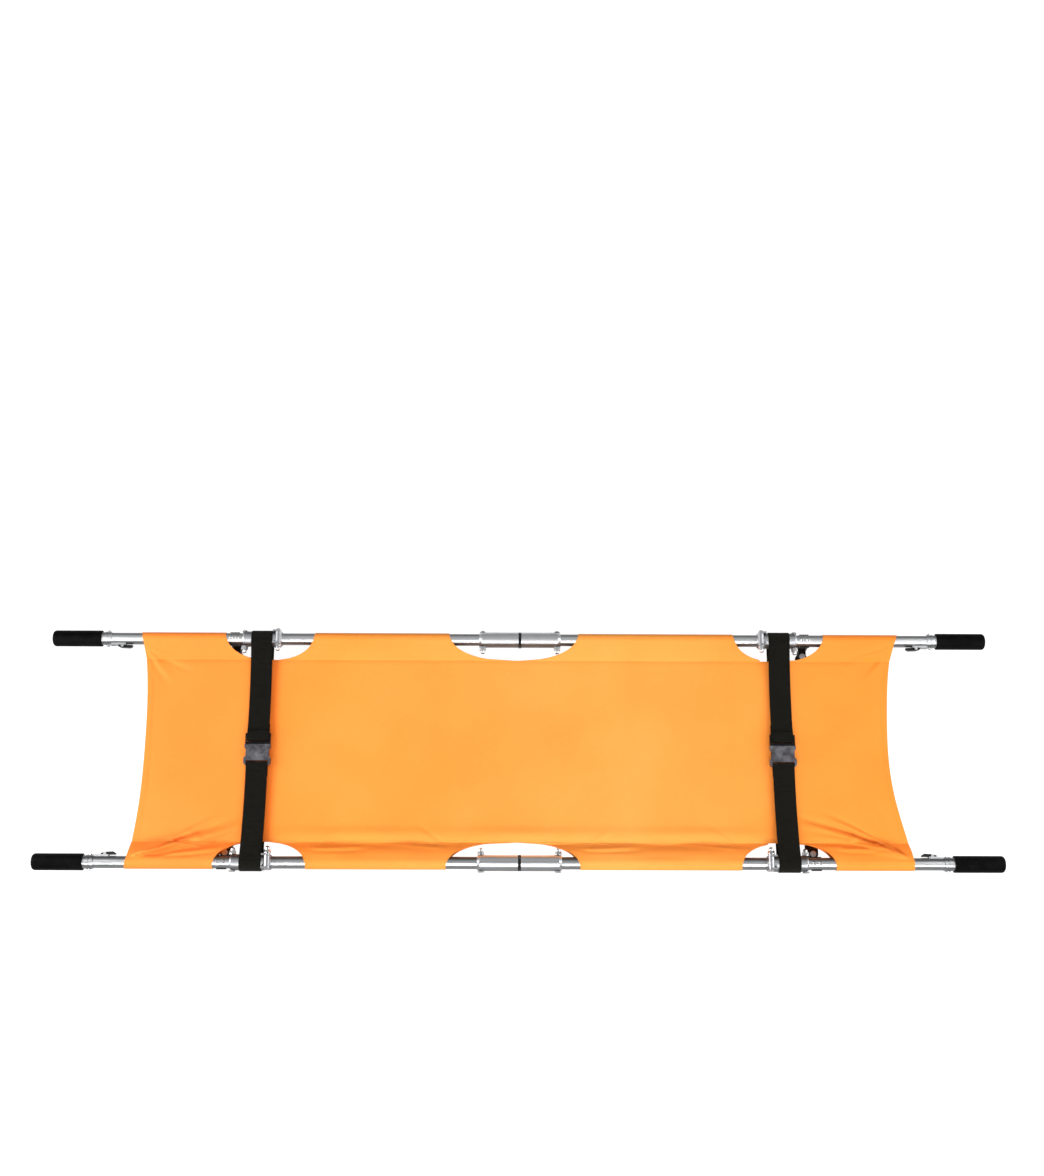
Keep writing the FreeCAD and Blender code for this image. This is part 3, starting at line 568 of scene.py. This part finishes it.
# the sling's end hems, and the lines of stitches inside a hem and inside a plain edge
HEM = 13 * MM
HEM_STITCHES = (4 * MM, 11 * MM)
PANEL_STITCHES = (4 * MM,)


def hem_ridge(distance):
    """The doubled cloth of a turned hem, from its distance to the edge."""
    inside = np.clip((HEM - distance) / (2 * MM), 0, 1)
    return 0.7 * MM * inside


def spread_along(low, high):
    """X for each row between its two ends, in columns about a cell apart."""
    columns = int((high.max() - low.min()) / CELL) + 1
    return low[:, None] + (high - low)[:, None] * np.linspace(0, 1, columns)[None, :]


def main_sheet(name):
    """The cloth between the two seams, as a grid of points."""
    y = np.linspace(-SEAM_Y, SEAM_Y, int(2 * SEAM_Y / CELL) + 1)
    low, high = panel_limits(name, y)
    x = spread_along(low, high)
    yy = np.repeat(y[:, None], x.shape[1], axis=1)
    z = sag(yy) + relief(x, yy)
    if name == "head":
        z += hem_ridge(x - low[:, None])
    if name == "foot":
        z += hem_ridge(high[:, None] - x)
    z -= SEAM_DIP * bell(np.abs(yy) - SEAM_Y, 5 * MM)
    return np.stack([x, yy, z], axis=2)


# the points of a pocket's section: on each lead to the pole, round it, and on the top side
LEAD_POINTS = 12
ARC_POINTS = 34
TOP_ROWS = LEAD_POINTS + 6


def pocket_section(side):
    """The pocket's line in YZ: seam, over the pole, round it, and back to the seam."""
    seam = np.array([SEAM_Y, SEAM_Z - SEAM_DIP])
    centre = np.array([POLE_Y, POLE_Z])
    away = seam - centre
    distance = np.linalg.norm(away)
    heading = math.atan2(away[1], away[0])
    spread = math.acos(POCKET_R / distance)
    angles = np.linspace(heading - spread, heading + spread - 2 * math.pi, ARC_POINTS)
    arc = centre + POCKET_R * np.stack([np.cos(angles), np.sin(angles)], axis=1)
    lead = np.linspace(0, 1, LEAD_POINTS + 1)[:-1, None]
    top = seam + (arc[0] - seam) * lead
    top[:, 1] += 2.6 * MM * np.sin(math.pi * lead[:, 0] ** 0.8)
    low = arc[-1] + (seam - np.array([0, 1.2 * MM]) - arc[-1]) * (1 - lead[::-1])
    line = np.concatenate([top, arc, low])
    line[:, 0] *= side
    return line


def hole_half(middle_half, y):
    """Half of a hand hole's length at a distance from the centre line."""
    depth = HOLE_OUTER - SEAM_Y
    share = np.clip((HOLE_OUTER - np.abs(y)) / depth, 0, 1)
    return middle_half * (1 - share ** HOLE_POWER) ** (1 / HOLE_POWER)


def pocket_sheet(name, side):
    """A pocket's cloth as a grid of points, with its ends cut to the hand holes."""
    line = pocket_section(side)
    y = line[:, 0]
    left, right = POCKET_ENDS[name]
    low, high = panel_limits(name, y)
    if left is not None:
        middle, half = HOLES[left]
        low = np.maximum(low, middle + hole_half(half, y))
    if right is not None:
        middle, half = HOLES[right]
        high = np.minimum(high, middle - hole_half(half, y))
    x = spread_along(low, high)
    yy, z = (np.repeat(line[:, k][:, None], x.shape[1], axis=1) for k in (0, 1))
    upper = (np.arange(len(y)) < TOP_ROWS)[:, None]
    z = z + relief(x, yy) * upper
    from_axis = np.abs(yy) - POLE_Y
    skin = POLE_Z + np.sqrt(np.maximum(POCKET_R ** 2 - from_axis ** 2, 0))
    over_pole = upper & (np.abs(from_axis) < POCKET_R * 0.98)
    z = np.where(over_pole, np.maximum(z, skin), z)
    return np.stack([x, yy, z], axis=2)


# from one stitch to the next, and one stitch's length
STITCH_PITCH = 5.2 * MM
STITCH = 3.4 * MM


def stitches(route):
    """Thread stitches along a line of points, as small pointed bars."""
    route = np.array(route)
    steps = np.linalg.norm(np.diff(route, axis=0), axis=1)
    travelled = np.concatenate([[0], np.cumsum(steps)])
    verts, faces = [], []
    for begin in np.arange(STITCH_PITCH / 2, travelled[-1] - STITCH, STITCH_PITCH):
        ends = [
            np.array([np.interp(s, travelled, route[:, k]) for k in range(3)])
            for s in (begin, begin + STITCH)
        ]
        direction = (ends[1] - ends[0]) / max(np.linalg.norm(ends[1] - ends[0]), 1e-9)
        across = np.cross(direction, (0, 0, 1.0))
        across *= 0.45 * MM / max(np.linalg.norm(across), 1e-9)
        up = np.array([0, 0, 0.35 * MM])
        base = len(verts)
        middle = (ends[0] + ends[1]) / 2 + up
        verts += [ends[0], middle - across, ends[1], middle + across, middle + up * 0.5,
                  middle - up * 2.2]
        for a, b in ((0, 1), (1, 2), (2, 3), (3, 0)):
            faces.append((base + a, base + b, base + 4))
            faces.append((base + b, base + a, base + 5))
    return verts, faces


def stitch_piece(name, routes):
    """One object for the stitches along all the routes."""
    verts, faces = [], []
    for route in routes:
        more, loops = stitches(route)
        faces += [tuple(i + len(verts) for i in face) for face in loops]
        verts += more
    return new_piece(name, verts, faces, THREAD, smooth=False)


def lifted(line):
    """A line of a grid's points, lifted to lie on the cloth's top side."""
    line = np.array(line).reshape(-1, 3)
    line[:, 2] += CLOTH / 2
    return line


def edge_offset(grid, distance, from_low):
    """A line that follows a grid's first or last column at a distance along X."""
    x = grid[:, :, 0]
    target = x[:, 0] + distance if from_low else x[:, -1] - distance
    line = []
    for row, goal in zip(grid, target):
        if row[0, 0] + 0.5 * MM < goal < row[-1, 0] - 0.5 * MM:
            line.append([np.interp(goal, row[:, 0], row[:, k]) for k in range(3)])
    return lifted(line)


def cloth_piece(name, grid):
    """A thin orange sheet on a grid of points."""
    verts, faces, rim = sheet_mesh(grid, CLOTH)
    return new_piece(name, verts, faces, MATERIALS["sling_fabric"], rim=rim)


def build_sling():
    """The four main sheets with their thread, and a pocket on each side of each."""
    for name in PANELS:
        body = f"near_{name}"
        grid = main_sheet(name)
        piece = cloth_piece(f"sling_{name}", grid)
        routes = []
        if name in ("head", "foot"):
            routes = [edge_offset(grid, d, name == "head") for d in HEM_STITCHES]
        routes += [lifted(grid[row]) for row in (1, -2)]
        sewn = stitch_piece(f"sling_thread_{name}", routes)
        for soft in (piece, sewn):
            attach(soft, body)
            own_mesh(soft)
        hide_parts(f"{name}_sling_panel")
        for side_name, side in SIDES.items():
            build_pocket(name, side_name, side)


def build_pocket(name, side_name, side):
    """The cloth round one length of pole, with its thread."""
    grid = pocket_sheet(name, side)
    if side < 0:
        grid = grid[::-1]
    piece = cloth_piece(f"pocket_{side_name}_{name}", grid)
    top = grid[:TOP_ROWS] if side > 0 else grid[-TOP_ROWS:]
    routes = []
    for from_low, hemmed in ((True, "head"), (False, "foot")):
        distances = HEM_STITCHES if name == hemmed else PANEL_STITCHES
        routes += [edge_offset(top, d, from_low) for d in distances]
    routes = [r for r in routes if len(r) > 2]
    sewn = stitch_piece(f"pocket_thread_{side_name}_{name}", routes)
    for soft in (piece, sewn):
        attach(soft, f"{side_name}_{name}")


build_sling()

# --- straps ---------------------------------------------------------------------------

# the webbing's thickness and half width, its radius round a pole, and how far past the
# top of the pole it leaves it
WEB = 1.7 * MM
WEB_HALF = 25 * MM
WRAP_R = SOCKET_R + 0.3 * MM + WEB / 2
LEAN = math.radians(11)
BUCKLE_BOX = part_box("foot_buckle_socket")
BUCKLE_Z = (BUCKLE_BOX[0].z + BUCKLE_BOX[1].z) / 2
UNDER_Z = POLE_Z - 25 * MM
RUN_Z = BUCKLE_Z + 1.0 * MM
RUN_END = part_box("foot_buckle_prongs")[1].y + 3 * MM
# by side: half the height of the buckle bar, the webbing's height over it, and its slot
BAR_HALF = {-1: 2.5 * MM, 1: 5 * MM}
BAR_TOP = {side: BUCKLE_Z + half + WEB / 2 + 0.3 * MM for side, half in BAR_HALF.items()}
SLOT_Y = {-1: 30.4 * MM, 1: 20.4 * MM}
SLIDE_SLACK = 0.5 * MM
# from this share of its way on, the webbing rises from the sling to the buckle bar
RISE_FROM = 0.82
BEND_R = 1.6 * MM
# the webbing's section: places across its half width, and its share of the full thickness
ACROSS = (-1, -0.985, -0.95, -0.9, -0.5, 0, 0.5, 0.9, 0.95, 0.985, 1)
THICK = (0.15, 0.62, 0.9, 1, 0.94, 0.9, 0.94, 1, 0.9, 0.62, 0.15)


def ribbon(name, x, line):
    """Webbing along a line of (y, z) points, with rounded selvedges."""
    line = np.array(line)
    step = np.gradient(line, axis=0)
    step /= np.linalg.norm(step, axis=1, keepdims=True)
    normal = np.stack([-step[:, 1], step[:, 0]], axis=1)
    top = [(a * WEB_HALF, h * WEB / 2) for a, h in zip(ACROSS, THICK)]
    section = top + [(a, -h) for a, h in top[::-1]]
    count = len(section)
    verts = []
    for (y, z), (ny, nz) in zip(line, normal):
        for a, h in section:
            verts.append((x + a, y + ny * h, z + nz * h))
    faces = []
    for i in range(len(line) - 1):
        for j in range(count):
            a, b = i * count + j, i * count + (j + 1) % count
            faces.append((a, b, b + count, a + count))
    faces.append(tuple(range(count))[::-1])
    faces.append(tuple(range(len(verts) - count, len(verts))))
    return new_piece(name, verts, faces, MATERIALS["strap_webbing"])


def wrap_line(side):
    """Round the outside of a pole, from its top to its underside."""
    angles = np.linspace(math.pi / 2 + LEAN, -math.pi / 2, 30)
    return [(side * (POLE_Y + WRAP_R * math.cos(a)), POLE_Z + WRAP_R * math.sin(a))
            for a in angles]


def upper_line(side):
    """From the pole's top down to the buckle, lying close over the sling."""
    y0 = POLE_Y - WRAP_R * math.sin(LEAN)
    z0 = POLE_Z + WRAP_R * math.cos(LEAN)
    line = []
    for t in np.linspace(0, 1, 44):
        z = RUN_Z + (z0 - RUN_Z) * (1 - t) ** 3
        z += (BAR_TOP[side] - RUN_Z) * max(0.0, (t - RISE_FROM) / (1 - RISE_FROM)) ** 1.6
        line.append((side * (y0 + (RUN_END - y0) * t), z))
    return line


def lower_line():
    """The underside run from pole to pole, in a shallow sag."""
    line = []
    for t in np.linspace(-1, 1, 60):
        drop = (POLE_Z - WRAP_R - UNDER_Z) * (1 - t * t)
        line.append((POLE_Y * t, POLE_Z - WRAP_R - drop))
    return line


def bar_loop(side):
    """Webbing over a buckle bar, down through the slot behind it and back underneath."""
    slot = SLOT_Y[side]
    top, low = BAR_TOP[side] + 0.25 * MM, 2 * BUCKLE_Z - BAR_TOP[side]
    r = BEND_R
    line = [(RUN_END + 6 * MM, top), (RUN_END, top), (slot + 4 * MM, top), (slot + r, top)]
    for a in np.linspace(math.pi / 2, 0, 5)[1:]:
        line.append((slot + r - r * math.cos(a), top - r + r * math.sin(a)))
    line.append((slot, BUCKLE_Z))
    for a in np.linspace(0, math.pi / 2, 5):
        line.append((slot + r - r * math.cos(a), low + r - r * math.sin(a)))
    line += [(slot + 4 * MM, low), (RUN_END, low), (RUN_END + 22 * MM, low)]
    return [(side * y, z) for y, z in line]


def strap_piece(piece, body, squash=None):
    """Set what a length of webbing rides on, and give it a mesh of its own if it squashes; the squash's anchor and
    share kept are not used.
    """
    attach(piece, body)
    if squash:
        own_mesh(piece)


def build_strap(end):
    """One strap: a run under both poles, then round each, over the sling and to the buckle."""
    low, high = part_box(f"{end}_strap")
    x = (low.x + high.x) / 2
    travel = JOINTS[f"strap_slide_{end}"]["range_m"][1] - SLIDE_SLACK
    shift = 2 * POLE_Y - CLOSED_PITCH
    pole_top = POLE_Y - WRAP_R * math.sin(LEAN)
    run = pole_top - RUN_END
    keep_run = {"near": (run - travel) / run, "far": (run - shift + travel) / run}
    under = ribbon(f"strap_{end}_under", x, lower_line())
    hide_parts(f"{end}_strap")
    strap_piece(under, f"near_{end}", (-POLE_Y, CLOSED_PITCH / (2 * POLE_Y)))
    pieces = [under]
    for side_name, side in SIDES.items():
        body = f"{side_name}_{end}"
        wrap = ribbon(f"strap_{end}_{side_name}_wrap", x, wrap_line(side))
        strap_piece(wrap, body)
        upper = ribbon(f"strap_{end}_{side_name}_run", x, upper_line(side))
        strap_piece(upper, body, (side * pole_top, keep_run[side_name]))
        loop = ribbon(f"strap_{end}_{side_name}_loop", x, bar_loop(side))
        strap_piece(loop, f"{end}_buckle" if side < 0 else f"{end}_buckle_prongs")
        pieces += [wrap, upper, loop]


for strap_end in ("head", "foot"):
    build_strap(strap_end)

# --- bands: painted shade between the centre sleeves ----------------------------------

# one ring's ends along X, from the centre, and its inner and outer radius
BAND_FROM, BAND_TO = 0.1 * MM, 3.2 * MM
BAND_IN, BAND_OUT = 16.9 * MM, 18.15 * MM


def build_shade_bands():
    """A dark ring of painted shade in the neck between the two centre sleeves of each pole, where the gap is
    shaded, open below.
    """
    turns = np.radians(np.linspace(-30, 210, 61))
    section = [(BAND_FROM, BAND_IN), (BAND_FROM, BAND_OUT),
               (BAND_TO, BAND_OUT), (BAND_TO, BAND_IN)]
    for side_name, side in SIDES.items():
        for part, direction in (("lower", 1), ("upper", -1)):
            verts = [(direction * x, side * POLE_Y + r * math.cos(a), POLE_Z + r * math.sin(a))
                     for a in turns for x, r in section]
            faces = [(4 * i + j, 4 * i + (j + 1) % 4, 4 * i + 4 + (j + 1) % 4, 4 * i + 4 + j)
                     for i in range(len(turns) - 1) for j in range(4)]
            last = 4 * (len(turns) - 1)
            faces += [(3, 2, 1, 0), (last, last + 1, last + 2, last + 3)]
            if direction > 0:
                faces = [face[::-1] for face in faces]
            band = new_piece(f"band_{side_name}_{part}", verts, faces, SHADE_BAND, smooth=False)
            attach(band, f"{side_name}_{part}")


build_shade_bands()

# --- floor, light and camera ----------------------------------------------------------

CAMERA_PLACE = (-0.0243, -0.8278, 3.7323)
CAMERA_TURN = (0.3226, -0.0085, 0.0016)
CAMERA_LENS = 49.3
# how light the studio is, from level and below (0) to straight up (1)
WALLS = ((0.0, 0.12), (0.2, 0.14), (0.5, 0.3), (0.85, 0.34))
FLOOR_GLOW = 0.95


def build_floor():
    """A pale floor just under the legs, bright enough to stay white."""
    bpy.ops.mesh.primitive_plane_add(size=40, location=(0, 0, -0.4 * MM))
    floor = bpy.context.object
    floor.name = "studio_floor"
    m = Nodes("studio_white")
    m.paint(m.ramp(m.noise(3, 2), [(0, grey(0.16)), (1, grey(0.18))]))
    m.shader.inputs["Emission Color"].default_value = (1, 1, 1, 1)
    floor.data.materials.append(
        m.finish(Roughness=0.95, Specular_IOR_Level=0.0, Emission_Strength=FLOOR_GLOW)
    )


def softbox(name, place, size, power, target=(0, 0, 0.07)):
    """An area light that faces its target."""
    light = bpy.data.lights.new(name, "AREA")
    light.shape = "RECTANGLE"
    light.size, light.size_y = size
    light.energy = power
    lamp = bpy.data.objects.new(name, light)
    bpy.context.scene.collection.objects.link(lamp)
    lamp.location = place
    aim = Vector(target) - Vector(place)
    lamp.rotation_euler = aim.to_track_quat("-Z", "Y").to_euler()


def build_world():
    """A white studio whose walls are darker low down, for the metal to reflect."""
    world = bpy.data.worlds.new("studio")
    bpy.context.scene.world = world
    world.use_nodes = True
    tree = world.node_tree
    place = tree.nodes.new("ShaderNodeTexCoord")
    split = tree.nodes.new("ShaderNodeSeparateXYZ")
    ramp = tree.nodes.new("ShaderNodeValToRGB")
    set_stops(ramp.color_ramp, [(at, grey(level)) for at, level in WALLS])
    tree.links.new(place.outputs["Generated"], split.inputs[0])
    tree.links.new(split.outputs["Z"], ramp.inputs[0])
    tree.links.new(ramp.outputs[0], tree.nodes["Background"].inputs["Color"])
    tree.nodes["Background"].inputs["Strength"].default_value = 1.0


def build_camera():
    """The photograph's viewing angle."""
    data = bpy.data.cameras.new("camera")
    data.sensor_width = 36
    data.lens = CAMERA_LENS
    camera = bpy.data.objects.new("camera", data)
    bpy.context.scene.collection.objects.link(camera)
    camera.location = CAMERA_PLACE
    camera.rotation_euler = CAMERA_TURN
    bpy.context.scene.camera = camera


build_floor()
build_world()
softbox("left_box", (-2.0, 0.0, 0.85), (0.25, 1.2), 32, (-0.5, 0, 0.07))
softbox("right_box", (2.1, 0.1, 1.05), (0.9, 1.4), 27, (0.5, 0, 0.07))
softbox("key_box", (0, -2.3, 2.3), (3.4, 1.1), 112)
build_camera()
bpy.context.scene.view_settings.view_transform = "Standard"
